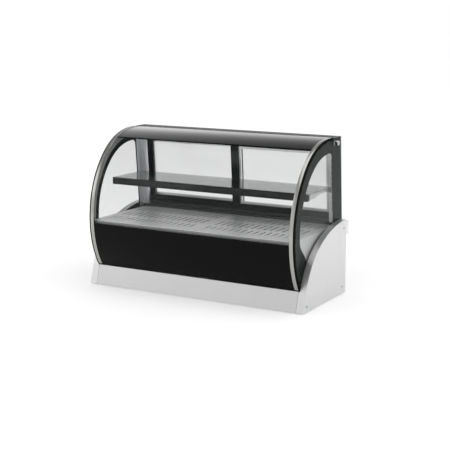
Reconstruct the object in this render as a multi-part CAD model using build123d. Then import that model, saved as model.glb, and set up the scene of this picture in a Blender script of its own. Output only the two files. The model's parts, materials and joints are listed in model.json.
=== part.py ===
from build123d import *
import os
from math import asin, atan, cos, pi, radians, sin, sqrt, tan

# Curved-glass countertop display case, chilled, 48 inch size.
# X runs along the counter, Y from the customer's side (-) to the server's side (+), Z is up.
# The origin is on the counter, under the middle of the whole case. All sizes are in millimetres.

# Overall sizes
case_length = 1219.0          # over the two steel end caps
base_depth = 478.0            # foot of the front skirt to the rear panel
base_height = 372.0           # counter to the top of the end caps
case_height = 784.0           # counter to the top of the glass
glass_bulge = 38.0            # how far the front glass stands out past the skirt foot
ledge_reach = 30.0            # how far the rear ledge stands out past the rear panel
ledge_height = 66.0

# Sheet, clearances and fasteners
sheet = 1.2                   # stainless steel skins
frame_sheet = 1.5             # galvanised inner sheet
foot_height = 4.0
pan_upstand = 12.0            # turned-up edge of the base pan
foot_radius = 18.0
foot_inset = 75.0             # foot centre from the ends and from front and rear
slip_gap = 0.5                # between pieces that only lie beside each other
seam = 1.0                    # visible joints between steel panels
run_fit = 0.05                # radial play of a shaft in its bearing
screw_radius = 2.0
screw_hole_play = 0.15
screw_head_radius = 4.0
screw_head_height = 1.6
screw_length = 8.0
screw_low_z = 30.0            # lowest row of screws
middle_screw_x = 200.0

# Front glass line, from the bottom tip up and over to the top
skirt_height = 101.0          # lower tip of the front glass
bulge_z = 342.0               # height where the glass stands out furthest
low_radius = 467.0
mid_radius = 473.0
mid_sweep = 44.0
shoulder_radius = 348.0
shoulder_sweep = 40.0
crown_radius = 560.0
front_glass_thick = 6.0
buffer_height = 5.5           # rubber block under the front glass, from the top of the skirt
buffer_deep = 16.0
trim_width = 20.0             # steel edging on both ends of the front glass
edge_width = 5.0              # rubber edge outside the steel, round the glass end
trim_sheet = 1.0
trim_wrap = 8.0               # how deep the rubber edge wraps round the glass end
trim_end_clear = 3.5          # from the end of the edging to the front of the hinge barrel
gasket_thick = 3.2
gasket_gap = 0.4              # lets the edging lift off the gasket
lift_gap = 0.6                # from the swinging corner of the front glass to the end glass

# End glasses
band_width = 31.7             # steel band between the end glass and the end cap's face
end_glass_thick = 6.0
rear_top_inset = 2.0          # rear top corner of the end glass, in front of the rear panel
rear_glass_z = 363.0          # top of the rear ledge, where the slanted rear plane starts
channel_floor = 3.0
channel_grip = 14.0           # how deep the end glass stands in its channel
channel_wall = 2.0
channel_inset = 24.0          # where the channel starts and stops along the lower edge
channel_rear_inset = 60.0
end_glass_sink = 24.0         # rear corner of the end glass below the ledge top

# Hinge of the front glass
hinge_back_depth = 431.5      # back of the hinge barrel behind the skirt foot
barrel_radius = 26.5
barrel_wall = 3.0
barrel_play = 1.1             # to the hollow of the header
pin_radius = 6.0
pin_inside = 30.0
cap_radius = 12.5
cap_stand = 16.0
bush_wall = 2.0
plug_length = 22.0
grip_width = 40.0             # strip under the rear edge of the front glass
grip_thick = 3.2

# Steel end caps
cap_low_radius = 360.0
cap_low_sweep = 46.5
cap_high_radius = 570.0
cap_strip_width = 38.5        # front strip of the end cap beside the skirt
flange = 20.5

# Insulated tank under the deck
deck_z = 345.0
deck_sheet = 1.2
deck_front = -22.0            # front lip, measured from the skirt foot
deck_lip = 24.0
deck_margin = 5.5             # deck edge inside the tank's edge
tank_half = 566.0
tank_front = 24.0
tank_rear_gap = 10.0          # to the rear panel
tank_floor_z = 190.0
tank_wall = 26.0
duct_front = -18.0
duct_drop = 26.0

# Rear doors, sill, header and posts
post_width = 39.0
post_deep = 12.0
jamb_wall = 2.5
post_slots = 9                # slots that the shelf brackets hook into
post_slot_start = 60.0
post_slot_pitch = 30.0
post_slot_height = 16.0
door_thick = 20.0
door_pitch = 28.0             # from one track to the other
door_inset = 4.0              # outer door behind the rear plane
door_stile = 44.0
door_rail = 42.0
door_top_rail = 26.0
door_end_gap = 3.5
door_lift = 3.0               # underside of the door over the sill
track_play = 0.5
track_wall_height = 13.0
header_grip = 6.0
header_roof = 3.0
header_floor = 1.45           # header left under the hollow of the barrel, at its back
pane_thick = 3.0
pane_bite = 9.0
spacer_width = 12.0
pull_length = 110.0
pull_width = 20.0
pull_depth = 4.0

# Shelf and lamps
shelf_z = 542.0               # top of the glass shelf
shelf_thick = 6.0
shelf_front = 140.0
shelf_rear = 405.0
shelf_half = 556.0
fascia_height = 36.0
fascia_deep = 24.0
fascia_wall = 2.0
bracket_height = 14.0
bracket_thick = 5.0
lamp_rail_front = 295.0
lamp_rail_deep = 30.0
lamp_rail_height = 16.0
lamp_glass_gap = 2.0
lens_thick = 2.0

# Cooling machine in the base
compressor_x = 330.0
compressor_depth = 250.0
compressor_radius = 66.0
compressor_height = 128.0
compressor_plate = 3.0
mount_radius = 11.0
mount_height = 14.0
mount_span_x = 170.0
mount_span_y = 110.0
condenser_x = -330.0
condenser_length = 280.0
condenser_deep = 44.0
condenser_height = 150.0
condenser_rear_gap = 53.0     # middle of the condenser to the rear panel
fin_pitch = 8.0
fin_slot = 6.0
fin_cut = 12.0
tube_radius = 4.75
pipe_radius = 3.2
suction_radius = 4.8
pipe_bend = 16.0
condenser_fan_radius = 64.0
shroud_deep = 30.0
fan_play = 5.0
motor_radius = 30.0
motor_length = 46.0
shaft_radius = 3.0
shaft_length = 16.0
evaporator_half = 420.0
evaporator_depth = 190.0
evaporator_deep = 90.0
evaporator_height = 84.0
evaporator_fan_x = 220.0
evaporator_fan_radius = 44.0
fan_plate_depth = 330.0
fan_blades = 5
pan_length = 240.0
pan_deep = 210.0
pan_height = 26.0
pan_wall = 1.5
pan_x = 50.0
pan_face_lap = 8.0
drain_radius = 8.0
drain_behind_fans = 70.0
hose_wall = 2.0

# Controls on the rear panel
control_x = 300.0
control_z = 150.0
controller_length = 78.0
controller_height = 36.0
controller_deep = 52.0
controller_lap = 3.5
bezel_thick = 3.0
button_length = 9.0
button_width = 5.0
button_stand = 1.6
button_travel = 1.2
button_pitch = 15.0
button_play = 0.3
switch_x = (390.0, 425.0)
rocker_length = 20.0
rocker_width = 13.0
rocker_tilt = 9.0
rocker_pin = 1.5
gland_x = 505.0
gland_z = 60.0
gland_radius = 9.0
gland_nut = 6.0
cord_radius = 4.5
vent_rows = 14
vent_pitch = 12.0
vent_slot = 6.0
vent_length = 84.0
vent_columns = 3
vent_bridge = 16.0            # steel left between two columns of slots
vent_foot = 26.0              # lowest slot over the base pan

# Worked-out places
foot_y = -(base_depth + ledge_reach - glass_bulge) / 2
rear_y = foot_y + base_depth
ledge_y = rear_y + ledge_reach
bulge_y = foot_y - glass_bulge
cap_x = case_length / 2
pane_x = cap_x - band_width
pane_inner_x = pane_x - end_glass_thick
floor_z = foot_height + sheet + frame_sheet
hinge_y = foot_y + hinge_back_depth - barrel_radius
hinge_z = case_height - barrel_radius - slip_gap
trim_end_y = hinge_y - barrel_radius - trim_end_clear
end_glass_inset = trim_wrap + gasket_gap + gasket_thick
glass_under_rise = case_height - trim_sheet - front_glass_thick - hinge_z
swing_radius = sqrt((hinge_y - trim_end_y + seam) ** 2 + glass_under_rise ** 2) - lift_gap
rear_lean = atan((ledge_reach + rear_top_inset) / (case_height - rear_glass_z))
tank_rear = base_depth - tank_rear_gap
condenser_depth = base_depth - condenser_rear_gap
drain_y = foot_y + fan_plate_depth + drain_behind_fans
door_half = pane_inner_x - door_end_gap
header_low_z = hinge_z - barrel_radius - barrel_play - header_floor
header_low = (header_low_z - rear_glass_z) / cos(rear_lean)
door_bottom = door_lift
door_top = header_low + header_grip
post_front = door_inset + door_pitch + door_thick + 2 * track_play + channel_wall + post_deep


def block(x0, x1, y0, y1, z0, z1):
    """A rectangular block between two opposite corners."""
    return Pos((x0 + x1) / 2, (y0 + y1) / 2, (z0 + z1) / 2) * Box(x1 - x0, y1 - y0, z1 - z0)


def rod_x(radius, x0, x1, y, z):
    """A round bar along X."""
    return Pos((x0 + x1) / 2, y, z) * Rot(0, 90, 0) * Cylinder(radius, x1 - x0)


def rod_y(radius, x, y0, y1, z):
    """A round bar along Y."""
    return Pos(x, (y0 + y1) / 2, z) * Rot(90, 0, 0) * Cylinder(radius, y1 - y0)


def rod_z(radius, x, y, z0, z1):
    """A round bar along Z."""
    return Pos(x, y, (z0 + z1) / 2) * Cylinder(radius, z1 - z0)


def behind(depth):
    """Y of a point that lies this far behind the skirt foot."""
    return foot_y + depth


def side_section(runs, x0, x1):
    """Extrude along X a closed outline of (y, z) runs: two points are a line, three an arc."""
    edges = []
    for i, run in enumerate(runs):
        follow = runs[(i + 1) % len(runs)]
        points = [(x0, y, z) for y, z in run]
        edges.append(Line(*points) if len(points) == 2 else ThreePointArc(*points))
        gap = abs(run[-1][0] - follow[0][0]) + abs(run[-1][1] - follow[0][1])
        if gap > 1e-6:
            edges.append(Line((x0, *run[-1]), (x0, *follow[0])))
    return extrude(make_face(edges), amount=x1 - x0, dir=(1, 0, 0))


def polygon_section(points, x0, x1):
    """Extrude along X a closed polygon of (y, z) points."""
    return side_section([(points[i], points[(i + 1) % len(points)]) for i in range(len(points))], x0, x1)


def turned_back(runs):
    """The same runs walked the other way."""
    return [tuple(reversed(run)) for run in reversed(runs)]


def arc_run(centre, radius, start, stop):
    """An arc that leaves the centre towards the front at 0 and straight up at 90 degrees."""
    angles = [radians(start), radians((start + stop) / 2), radians(stop)]
    return tuple((centre[0] - radius * cos(a), centre[1] + radius * sin(a)) for a in angles)


def front_runs(offset, low_z, back_y):
    """The front glass line moved inwards by offset, from height low_z over the top to back_y."""
    turn = mid_sweep + shoulder_sweep
    rise = (mid_radius - shoulder_radius) * sin(radians(mid_sweep))
    rise += (shoulder_radius - crown_radius) * sin(radians(turn)) + crown_radius
    mid_centre = (bulge_y + mid_radius, case_height - rise)
    step = mid_radius - shoulder_radius
    angle = radians(mid_sweep)
    shoulder_centre = (mid_centre[0] - step * cos(angle), mid_centre[1] + step * sin(angle))
    step = shoulder_radius - crown_radius
    angle = radians(turn)
    crown_centre = (shoulder_centre[0] - step * cos(angle), shoulder_centre[1] + step * sin(angle))
    low = low_radius - offset
    low_angle = asin((low_z - bulge_z) / low) * 180 / pi
    runs = [arc_run((bulge_y + low_radius, bulge_z), low, low_angle, 0)]
    runs.append(((bulge_y + offset, bulge_z), (bulge_y + offset, mid_centre[1])))
    runs.append(arc_run(mid_centre, mid_radius - offset, 0, mid_sweep))
    runs.append(arc_run(shoulder_centre, shoulder_radius - offset, mid_sweep, turn))
    runs.append(arc_run(crown_centre, crown_radius - offset, turn, 90))
    runs.append(((crown_centre[0], case_height - offset), (back_y, case_height - offset)))
    return runs


def front_y(z):
    """Y of the front glass line at a height below the bulge."""
    return bulge_y + low_radius - sqrt(low_radius ** 2 - (z - bulge_z) ** 2)


glass_low_z = skirt_height + buffer_height + slip_gap
end_glass_low_z = skirt_height + channel_grip
tip_y = front_y(skirt_height)
skirt_lean = atan((tip_y - foot_y) / (skirt_height - foot_height))


def cap_runs(offset):
    """Front and top line of the end cap moved inwards by offset, from the foot to the rear."""
    lean = skirt_lean * 180 / pi
    turn = lean + cap_low_sweep
    step = cap_low_radius - cap_high_radius
    start_z = base_height - cap_high_radius + cap_low_radius * sin(skirt_lean) - step * sin(radians(turn))
    start_y = foot_y + (start_z - foot_height) * tan(skirt_lean)
    low_centre = (start_y + cap_low_radius * cos(skirt_lean), start_z - cap_low_radius * sin(skirt_lean))
    high_centre = (low_centre[0] - step * cos(radians(turn)), low_centre[1] + step * sin(radians(turn)))
    low_run = arc_run(low_centre, cap_low_radius - offset, lean, turn)
    high_run = arc_run(high_centre, cap_high_radius - offset, turn, 90)
    slope = ((foot_y + offset / cos(skirt_lean), foot_height), low_run[0])
    return [slope, low_run, high_run, (high_run[2], (rear_y, base_height - offset))]


def rear_point(depth, up):
    """(y, z) of a point in front of the slanted rear plane and up along it."""
    y = ledge_y - depth * cos(rear_lean) - up * sin(rear_lean)
    z = rear_glass_z - depth * sin(rear_lean) + up * cos(rear_lean)
    return (y, z)


def rear_bar(depth0, depth1, up0, up1, x0, x1):
    """A straight bar that stands in the slanted rear plane."""
    corners = [(depth0, up0), (depth1, up0), (depth1, up1), (depth0, up1)]
    return polygon_section([rear_point(*corner) for corner in corners], x0, x1)


def other_end(shape):
    """The mirrored piece for the left end."""
    return mirror(shape, about=Plane.YZ)


def pair(shape):
    """A piece at the right end with its mirrored twin at the left end."""
    return Compound(children=[shape, other_end(shape)])


# Steel base

def screw_places():
    """(y, z) of the screws in each end cap."""
    return [(behind(37), screw_low_z), (rear_y - 41, screw_low_z + 9), (rear_y - 30, base_height - 40)]


def end_cap():
    """Right end cap: face, curved band, front strip and flanges."""
    face = side_section(cap_runs(0) + [((rear_y, foot_height), (foot_y, foot_height))], cap_x - sheet, cap_x)
    band = side_section(cap_runs(0) + turned_back(cap_runs(sheet)), pane_x + slip_gap, cap_x)
    strip_top = skirt_height - seam - sheet
    slope = skirt_height - foot_height
    shift = (strip_top - foot_height) / slope * (tip_y - foot_y)
    wide = sheet / cos(skirt_lean)
    corners = [(foot_y, foot_height), (foot_y + shift, strip_top)]
    corners += [(foot_y + shift + wide, strip_top), (foot_y + wide, foot_height)]
    strip = polygon_section(corners, cap_x - cap_strip_width, cap_x)
    rear = block(cap_x - flange, cap_x, rear_y - sheet, rear_y, foot_height, base_height)
    bottom = block(cap_x - flange, cap_x, foot_y + sheet, rear_y, foot_height, foot_height + sheet)
    cap = face + band + strip + rear + bottom
    for y, z in screw_places():
        cap -= rod_x(screw_radius + screw_hole_play, cap_x - 2 * sheet, cap_x + sheet, y, z)
    return cap


def panel_screws():
    """Screws of the end caps and of the rear panel."""
    screws = []
    for y, z in screw_places():
        head = rod_x(screw_head_radius, cap_x, cap_x + screw_head_height, y, z)
        shank = rod_x(screw_radius, cap_x - screw_length, cap_x, y, z)
        screws += [head + shank, other_end(head + shank)]
    for x, z in rear_screw_places():
        head = rod_y(screw_head_radius, x, rear_y, rear_y + screw_head_height, z)
        shank = rod_y(screw_radius, x, rear_y - screw_length, rear_y, z)
        screws.append(head + shank)
    return Compound(children=screws)


def rear_screw_places():
    """(x, z) of the screws along the rear panel."""
    reach = cap_x - flange - 18
    return [(x, z) for x in (-reach, middle_screw_x, reach) for z in (screw_low_z, rear_glass_z - 100)]


def front_skirt():
    """Sloping front panel between the end caps, with a foot return and a top ledge for the glass."""
    half = cap_x - cap_strip_width - seam
    top = skirt_height - seam
    shift = (top - foot_height) / (skirt_height - foot_height) * (tip_y - foot_y)
    wide = sheet / cos(skirt_lean)
    corners = [(foot_y, foot_height), (foot_y + shift, top)]
    corners += [(foot_y + shift + wide, top), (foot_y + wide, foot_height)]
    panel = polygon_section(corners, -half, half)
    foot = block(-half, half, foot_y + wide / 2, foot_y + flange, foot_height, foot_height + sheet)
    ledge = block(-half, half, foot_y + shift + wide / 2, foot_y + shift + flange, top - sheet, top)
    return panel + foot + ledge


def base_pan():
    """Galvanised floor of the base with an upstand all round."""
    half = cap_x - sheet - 2 * seam
    y0 = foot_y + flange / 2
    y1 = rear_y - sheet - seam
    z0 = foot_height + sheet
    top = z0 + pan_upstand
    pan = block(-half, half, y0, y1, z0, top)
    inside = half - frame_sheet
    pan -= block(-inside, inside, y0 + frame_sheet, y1 - frame_sheet, floor_z, top + 1)
    for x, y in foot_places():
        pan -= rod_z(screw_radius + screw_hole_play, x, y, z0 - 1, floor_z + 1)
    slot = pan_length / 2 + seam
    return pan - block(pan_x - slot, pan_x + slot, y1 - 2 * frame_sheet, y1 + 1, floor_z, top + 1)


def foot_places():
    """(x, y) of the four feet."""
    reach = cap_x - foot_inset
    return [(x, y) for x in (-reach, reach) for y in (foot_y + foot_inset, rear_y - foot_inset)]


def feet():
    """Rubber pads under the base pan, each with a stud through the pan."""
    pads = []
    for x, y in foot_places():
        pad = rod_z(foot_radius, x, y, 0, foot_height + sheet)
        stud = rod_z(screw_radius, x, y, foot_height + sheet, floor_z + 4)
        pads.append(pad + stud)
    return Compound(children=pads)


def rear_panel():
    """Rear panel with vents, control openings, tray slot and cord hole, flanged under the sill."""
    half = cap_x - flange - seam
    top = deck_z - deck_sheet
    panel = block(-half, half, rear_y - sheet, rear_y, foot_height, top)
    panel += block(-half, half, behind(tank_rear) + slip_gap, rear_y, top - sheet, top)
    front, back = rear_y - 2 * sheet, rear_y + sheet
    for column in range(vent_columns):
        for row in range(vent_rows):
            x = condenser_x + (column - (vent_columns - 1) / 2) * (vent_length + vent_bridge)
            z = floor_z + vent_foot + row * vent_pitch
            panel -= block(x - vent_length / 2, x + vent_length / 2, front, back, z, z + vent_slot)
    hole_x = controller_length / 2 - controller_lap
    hole_z = controller_height / 2 - controller_lap
    low, high = control_z - hole_z, control_z + hole_z
    panel -= block(control_x - hole_x, control_x + hole_x, front, back, low, high)
    for x in switch_x:
        wide = rocker_width / 2 + channel_wall + slip_gap
        tall = rocker_length / 2 + channel_wall + slip_gap
        panel -= block(x - wide, x + wide, front, back, control_z - tall, control_z + tall)
    panel -= rod_y(gland_radius + slip_gap, gland_x, front, back, gland_z)
    slot = pan_length / 2 + seam
    panel -= block(pan_x - slot, pan_x + slot, front, back, floor_z, floor_z + pan_height + 2 * seam)
    for x, z in rear_screw_places():
        panel -= rod_y(screw_radius + screw_hole_play, x, front, back, z)
    notch = pane_inner_x - slip_gap
    low = end_glass_low(rear_y - flange) - 2 * seam
    panel -= block(-half - 1, -notch, rear_y - flange, rear_y + 1, low, top + 1)
    return panel - block(notch, half + 1, rear_y - flange, rear_y + 1, low, top + 1)


def rear_ledge():
    """Ledge that stands out behind the rear panel and carries the back of the sill."""
    low = rear_glass_z - ledge_height
    face = block(-cap_x, cap_x, ledge_y - sheet, ledge_y, low, rear_glass_z)
    under = block(-cap_x, cap_x, rear_y, ledge_y, low, low + sheet)
    ledge = face + under
    for side in (-1, 1):
        inner = side * (pane_x + slip_gap)
        outer = side * cap_x
        x0, x1 = sorted((inner, outer))
        ledge += block(x0, x1, rear_y, ledge_y, rear_glass_z - sheet, rear_glass_z)
        x0, x1 = sorted((side * (cap_x - sheet), outer))
        ledge += block(x0, x1, rear_y, ledge_y, low, rear_glass_z)
    return ledge


def inner_frame():
    """Right upright sheet that carries the tank, with a foot and a head flange."""
    x1 = tank_half
    x0 = x1 - frame_sheet
    y0 = behind(60)
    y1 = behind(tank_rear)
    web = block(x0, x1, y0, y1, floor_z, tank_floor_z)
    foot = block(x1 - flange, x1, y0, y1, floor_z, floor_z + frame_sheet)
    head = block(x1 - flange, x1, y0, y1, tank_floor_z - frame_sheet, tank_floor_z)
    frame = web + foot + head
    lower = block(x0 - 1, x1 + 1, y0 + 60, y0 + 180, floor_z + 40, tank_floor_z - 50)
    return frame - lower


# Insulated tank and deck

def tank_shell():
    """Outer skin of the tank, open at the top."""
    top = deck_z - deck_sheet - sheet
    shell = block(-tank_half, tank_half, behind(tank_front), behind(tank_rear), tank_floor_z, top)
    inside = tank_half - sheet
    shell -= block(-inside, inside, behind(tank_front) + sheet, behind(tank_rear) - sheet,
                   tank_floor_z + sheet, top + 1)
    return shell - rod_z(drain_radius + hose_wall, pan_x, drain_y, tank_floor_z - 1, tank_floor_z + 2 * sheet)


def tank_foam():
    """Insulation between the two skins."""
    top = deck_z - deck_sheet - sheet
    x1 = tank_half - sheet
    foam = block(-x1, x1, behind(tank_front) + sheet, behind(tank_rear) - sheet, tank_floor_z + sheet, top)
    x1 = tank_half - tank_wall
    inside = tank_floor_z + tank_wall
    foam -= block(-x1, x1, behind(tank_front) + tank_wall, behind(tank_rear) - tank_wall, inside, top + 1)
    return foam - rod_z(drain_radius + hose_wall, pan_x, drain_y, tank_floor_z - 1, inside + 1)


def tank_liner():
    """Stainless inner skin with a rim over the insulation and a drain hole."""
    top = deck_z - deck_sheet
    x1 = tank_half - tank_wall
    y0 = behind(tank_front) + tank_wall
    y1 = behind(tank_rear) - tank_wall
    z0 = tank_floor_z + tank_wall
    liner = block(-tank_half, tank_half, behind(tank_front), behind(tank_rear), top - sheet, top)
    liner += block(-x1, x1, y0, y1, z0, top)
    liner -= block(-x1 + sheet, x1 - sheet, y0 + sheet, y1 - sheet, z0 + sheet, top + 1)
    return liner - rod_z(drain_radius, pan_x, drain_y, z0 - 1, z0 + 2 * sheet)


def front_duct():
    """Air duct between the tank and the front glass, open towards the deck."""
    top = deck_z - deck_sheet
    low = top - duct_drop
    y0 = behind(duct_front)
    y1 = behind(tank_front)
    duct = block(-tank_half, tank_half, y0, y1, low, top)
    duct -= block(-tank_half + sheet, tank_half - sheet, y0 + sheet, y1 - sheet, low + sheet, top + 1)
    return duct


def deck_pans():
    """Two lift-out deck plates with a turned-down front lip and rows of air slots."""
    pans = []
    half = tank_half - deck_margin
    rear = rear_point(post_front + slip_gap, deck_z - rear_glass_z)[0]
    for x0, x1 in ((-half, -seam / 2), (seam / 2, half)):
        plate = block(x0, x1, behind(deck_front), rear, deck_z - deck_sheet, deck_z)
        plate += block(x0, x1, behind(deck_front), behind(deck_front) + deck_sheet, deck_z - deck_lip, deck_z)
        pans.append(plate)
    return Compound(children=pans)


# Fixed glass and its fittings

def swing_point(drop):
    """(y, z) on the arc round the hinge that the front glass clears, at a drop below the top."""
    rise = case_height - drop - hinge_z
    return (hinge_y - sqrt(swing_radius ** 2 - rise ** 2), case_height - drop)


def end_glass_foot():
    """Front and rear end of the straight lower edge of an end glass, as (y, z)."""
    tip = front_runs(end_glass_inset, end_glass_low_z, hinge_y)[0][0][0]
    return (tip + channel_grip, end_glass_low_z), (ledge_y - slip_gap - sheet, rear_glass_z - end_glass_sink)


def end_glass_low(y):
    """Height of the lower edge of an end glass."""
    front, rear = end_glass_foot()
    return front[1] + (y - front[0]) * (rear[1] - front[1]) / (rear[0] - front[0])


def end_glass():
    """Right end glass: front line inside the gasket, a step at the hinge and a slanted rear edge."""
    step = [swing_point(drop) for drop in (end_glass_inset, end_glass_inset / 2, 0)]
    runs = front_runs(end_glass_inset, end_glass_low_z, step[0][0]) + [tuple(step)]
    top_rear = (rear_y - rear_top_inset, case_height)
    front, rear = end_glass_foot()
    points = [step[-1], top_rear, (rear[0], rear_glass_z), rear, front]
    runs += [(points[i], points[i + 1]) for i in range(len(points) - 1)]
    glass = side_section(runs, pane_inner_x, pane_x)
    return glass - rod_x(pin_radius + bush_wall + slip_gap, pane_inner_x - 1, pane_x + 1, hinge_y, hinge_z)


def end_gasket():
    """Right rubber strip on the end glass, which the edging of the front glass closes on."""
    outer = front_runs(trim_wrap + gasket_gap, end_glass_low_z, swing_point(end_glass_inset)[0] - slip_gap)
    inner = front_runs(end_glass_inset, end_glass_low_z, swing_point(end_glass_inset)[0] - slip_gap)
    runs = outer + turned_back(inner)
    return side_section(runs, pane_inner_x, pane_x)


def end_channel():
    """Right channel that holds the lower edge of the end glass, fixed to the tank's end."""
    front, rear = end_glass_foot()
    length = sqrt((rear[0] - front[0]) ** 2 + (rear[1] - front[1]) ** 2)
    along = ((rear[0] - front[0]) / length, (rear[1] - front[1]) / length)
    down = (along[1], -along[0])

    def spot(run, drop):
        return (front[0] + along[0] * run + down[0] * drop, front[1] + along[1] * run + down[1] * drop)

    start = channel_inset
    stop = length - channel_rear_inset
    outer = [spot(start, -channel_grip), spot(stop, -channel_grip)]
    outer += [spot(stop, channel_floor), spot(start, channel_floor)]
    groove = [spot(start - 1, -channel_grip - 1), spot(stop + 1, -channel_grip - 1)]
    groove += [spot(stop + 1, 0), spot(start - 1, 0)]
    bar = polygon_section(outer, tank_half, pane_x + channel_wall)
    return bar - polygon_section(groove, pane_inner_x, pane_x)


def hinge_pin():
    """Right hinge pin, from the cap through the bush into the barrel's plug."""
    return rod_x(pin_radius, pane_inner_x - pin_inside, pane_x + cap_stand - 4, hinge_y, hinge_z)


def hinge_bush():
    """Right nylon bush with a flange on the inside of the end glass."""
    tube = rod_x(pin_radius + bush_wall, pane_inner_x - 1.0, pane_x, hinge_y, hinge_z)
    tube += rod_x(cap_radius, pane_inner_x - 1.0, pane_inner_x, hinge_y, hinge_z)
    return tube - rod_x(pin_radius, pane_inner_x - 2, pane_x + 1, hinge_y, hinge_z)


def hinge_cap():
    """Right chrome cap on the outside of the end glass."""
    cap = rod_x(cap_radius, pane_x, pane_x + cap_stand, hinge_y, hinge_z)
    cap = fillet(cap.edges().group_by(Axis.X)[-1], 2.5)
    return cap - rod_x(pin_radius, pane_x - 1, pane_x + cap_stand - 4, hinge_y, hinge_z)


def glass_buffer():
    """Right rubber block at the lower tip of the front glass, between the edging and the end cap."""
    z0 = skirt_height - seam
    y0 = tip_y + seam
    return block(pane_x - trim_width, pane_x - slip_gap, y0, y0 + buffer_deep, z0, z0 + buffer_height)


# Lifting front glass

def front_glass():
    """Curved front glass, narrower at the rear where it passes between the end glasses."""
    half = pane_x - trim_sheet - slip_gap
    back = hinge_y - barrel_radius + 8.0
    outer = front_runs(trim_sheet, glass_low_z, back)
    inner = front_runs(trim_sheet + front_glass_thick, glass_low_z, back)
    glass = side_section(outer + turned_back(inner), -half, half)
    neck = pane_inner_x - slip_gap
    for side in (-1, 1):
        x0, x1 = sorted((side * neck, side * (half + 1)))
        glass -= block(x0, x1, trim_end_y - seam, back + 1, case_height - 20, case_height + 1)
    return glass


def front_strip(depth, x0, x1):
    """A strip on the front glass line, this deep, as long as the glass edging."""
    back = trim_end_y - 2 * seam
    outline = front_runs(0, glass_low_z, back) + turned_back(front_runs(depth, glass_low_z, back))
    return side_section(outline, x0, x1)


def glass_trim():
    """Right steel face strip, bonded on the front glass beside the rubber edge."""
    return front_strip(trim_sheet, pane_x - trim_width, pane_x - edge_width)


def glass_edge_seal():
    """Right rubber edge: a face beside the steel strip and a lip round the end of the glass."""
    face = front_strip(trim_sheet, pane_x - edge_width, pane_x)
    return face + front_strip(trim_wrap, pane_x - trim_sheet, pane_x)


def hinge_barrel():
    """Tube behind the front glass with a strip that is bonded under the glass."""
    half = pane_inner_x - 2 * slip_gap
    tube = rod_x(barrel_radius, -half, half, hinge_y, hinge_z)
    z1 = case_height - trim_sheet - front_glass_thick
    edge = hinge_y - barrel_radius
    strip = block(-half, half, edge - grip_width, edge + barrel_radius / 2, z1 - grip_thick, z1)
    under = front_runs(trim_sheet + front_glass_thick, glass_low_z, hinge_y)
    under.append(((hinge_y, z1), (hinge_y, glass_low_z)))
    barrel = tube + (strip & side_section(under, -half, half))
    return barrel - rod_x(barrel_radius - barrel_wall, -half - 1, half + 1, hinge_y, hinge_z)


def hinge_plug():
    """Right bearing plug inside the barrel."""
    x1 = pane_inner_x - 2 * slip_gap
    plug = rod_x(barrel_radius - barrel_wall, x1 - plug_length, x1, hinge_y, hinge_z)
    return plug - rod_x(pin_radius + run_fit, x1 - plug_length - 1, x1 + 1, hinge_y, hinge_z)


# Rear frame and doors

def rear_header():
    """Top rear rail with a hollow for the hinge barrel and two door tracks."""
    half = pane_inner_x - slip_gap
    low = header_low
    hollow = barrel_radius + barrel_play
    front = rear_point(post_front - post_deep, low)
    top = case_height - sheet
    corners = [rear_point(0, low), (rear_y - rear_top_inset, top), (hinge_y, top), (front[0], hinge_z), front]
    bar = polygon_section(corners, -half, half)
    bar -= rod_x(hollow, -half - 1, half + 1, hinge_y, hinge_z)
    bar -= block(-half - 1, half + 1, hinge_y - 100, hinge_y + hollow / 3, hinge_z - 5, case_height + 1)
    for track in range(2):
        inset = door_inset + track * door_pitch
        bar -= rear_bar(inset - track_play, inset + door_thick + track_play, low - 1, door_top + track_play,
                        -half - 1, half + 1)
    room = [rear_point(4, door_top + 4), rear_point(36, door_top + 4)]
    roof = top - header_roof
    room += [(hinge_y + hollow + 8, hinge_z + 8), (hinge_y + hollow + 4, roof)]
    room.append((rear_y - rear_top_inset - 4, roof))
    return bar - polygon_section(room, -half - 1, half + 1)


def door_sill():
    """Lower rail with two door channels, on the tank rim and the rear panel."""
    half = pane_inner_x - slip_gap
    bottom = deck_z - deck_sheet
    front = rear_point(post_front, deck_z - rear_glass_z)[0]
    back_depth = door_inset - track_play - channel_wall
    front_depth = post_front - post_deep
    rear = rear_point(back_depth, 0)
    corners = [(front, bottom), (rear[0], bottom), rear, rear_point(back_depth, track_wall_height)]
    corners += [rear_point(front_depth, track_wall_height), rear_point(front_depth, 0)]
    corners.append(rear_point(post_front, 0))
    sill = polygon_section(corners, -half, half)
    for track in range(2):
        inset = door_inset + track * door_pitch
        sill -= rear_bar(inset - track_play, inset + door_thick + track_play, 0, track_wall_height + 1,
                         -half - 1, half + 1)
    return sill


def corner_post():
    """Right post: a slotted face in front of the doors and a jamb round their ends."""
    low = 0
    high = header_low
    outer = pane_inner_x - slip_gap
    face = rear_bar(post_front - post_deep, post_front, low, high, outer - post_width, outer)
    face -= rear_bar(post_front - post_deep - 1, post_front - sheet * 2, low - 1, high + 1,
                     outer - post_width + sheet * 2, outer - sheet * 2)
    for step in range(post_slots):
        slot_up = post_slot_start + step * post_slot_pitch
        face -= rear_bar(post_front - 2 * sheet - 1, post_front + 1, slot_up, slot_up + post_slot_height,
                         outer - 24, outer - 20)
    web = rear_bar(door_inset - track_play - channel_wall, post_front - post_deep, track_wall_height, high,
                   outer - jamb_wall, outer)
    return face + web


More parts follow.
